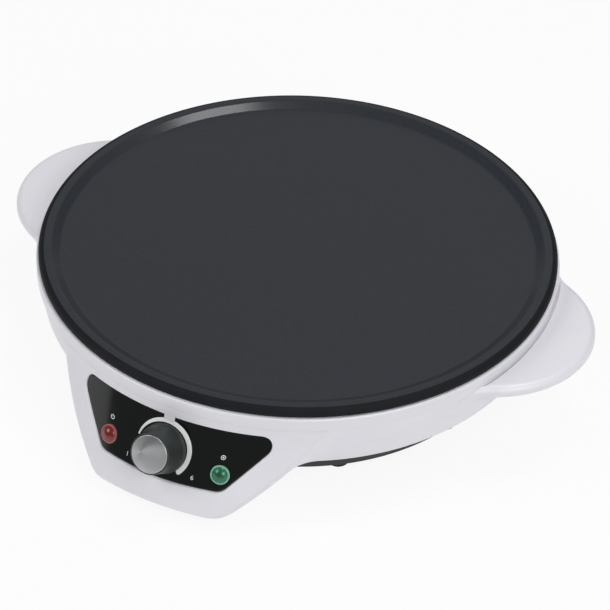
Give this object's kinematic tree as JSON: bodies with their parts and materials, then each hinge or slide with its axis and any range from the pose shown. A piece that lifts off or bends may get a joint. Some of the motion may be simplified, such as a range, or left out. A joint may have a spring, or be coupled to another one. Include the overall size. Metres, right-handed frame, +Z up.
{
  "type": "electric crepe maker",
  "caption": "Round electric crepe plate with a low rim on a white bowl housing with side handles, a front control nose and a turning heat knob.",
  "frame": {"origin": "on the table below the middle of the outline", "axes": "+Z up, -Y towards the control panel, +X to the right of someone facing the panel"},
  "size_m": [0.4, 0.3626, 0.08],
  "materials": {
    "nonstick_plate": "matt non-stick coat on cast aluminium",
    "element_tube": "dull heated steel tube",
    "ceramic": "unglazed steatite",
    "steel_sheet": "aluminised sheet",
    "zinc_steel": "zinc plated",
    "white_housing": "satin moulded",
    "black_cover": "fine moulded texture",
    "foot_rubber": "matt",
    "panel_gloss": "gloss",
    "knob_black": "satin",
    "spun_aluminium": "spun",
    "control_resin": "moulded resin",
    "brass_tab": "bright",
    "copper_tube": "dull copper",
    "red_lens": "clear red moulded",
    "green_lens": "clear green moulded",
    "lamp_holder": "heat-resistant nylon",
    "fuse_metal": "plated can",
    "block_plastic": "moulded",
    "bush_black": "moulded"
  },
  "bodies": {
    "base": {"base_cover": "black_cover", "base_screws": "zinc_steel", "bulb_clip": "steel_sheet", "bulb_clip_screws": "zinc_steel", "capillary_tube": "copper_tube", "control_panel": "panel_gloss", "cooking_plate": "nonstick_plate", "cord_inlet_bush": "bush_black", "element_bead_left": "ceramic", "element_bead_right": "ceramic", "foot_front_left": "foot_rubber", "foot_front_right": "foot_rubber", "foot_rear_left": "foot_rubber", "foot_rear_right": "foot_rubber", "fuse_clip": "steel_sheet", "heat_shield": "steel_sheet", "heating_element": "element_tube", "housing": "white_housing", "pillar_left": "zinc_steel", "pillar_rear": "zinc_steel", "pillar_right": "zinc_steel", "plate_screws": "zinc_steel", "power_lamp_body": "lamp_holder", "power_lamp_lens": "red_lens", "ready_lamp_body": "lamp_holder", "ready_lamp_lens": "green_lens", "sensing_bulb": "copper_tube", "terminal_block": "block_plastic", "thermal_fuse": "fuse_metal", "thermostat_body": "control_resin", "thermostat_screws": "zinc_steel", "thermostat_tabs": "brass_tab"},
    "knob": {"knob_body": "knob_black", "knob_cap": "spun_aluminium", "thermostat_spindle": "zinc_steel"}
  },
  "joints": [
    {"name": "temperature_turn", "type": "hinge", "parent": "base", "child": "knob", "pos_m": [0, -0.15956, 0.04], "axis": [0, 0.9015, -0.4327], "range_deg": [0, 240]}
  ]
}
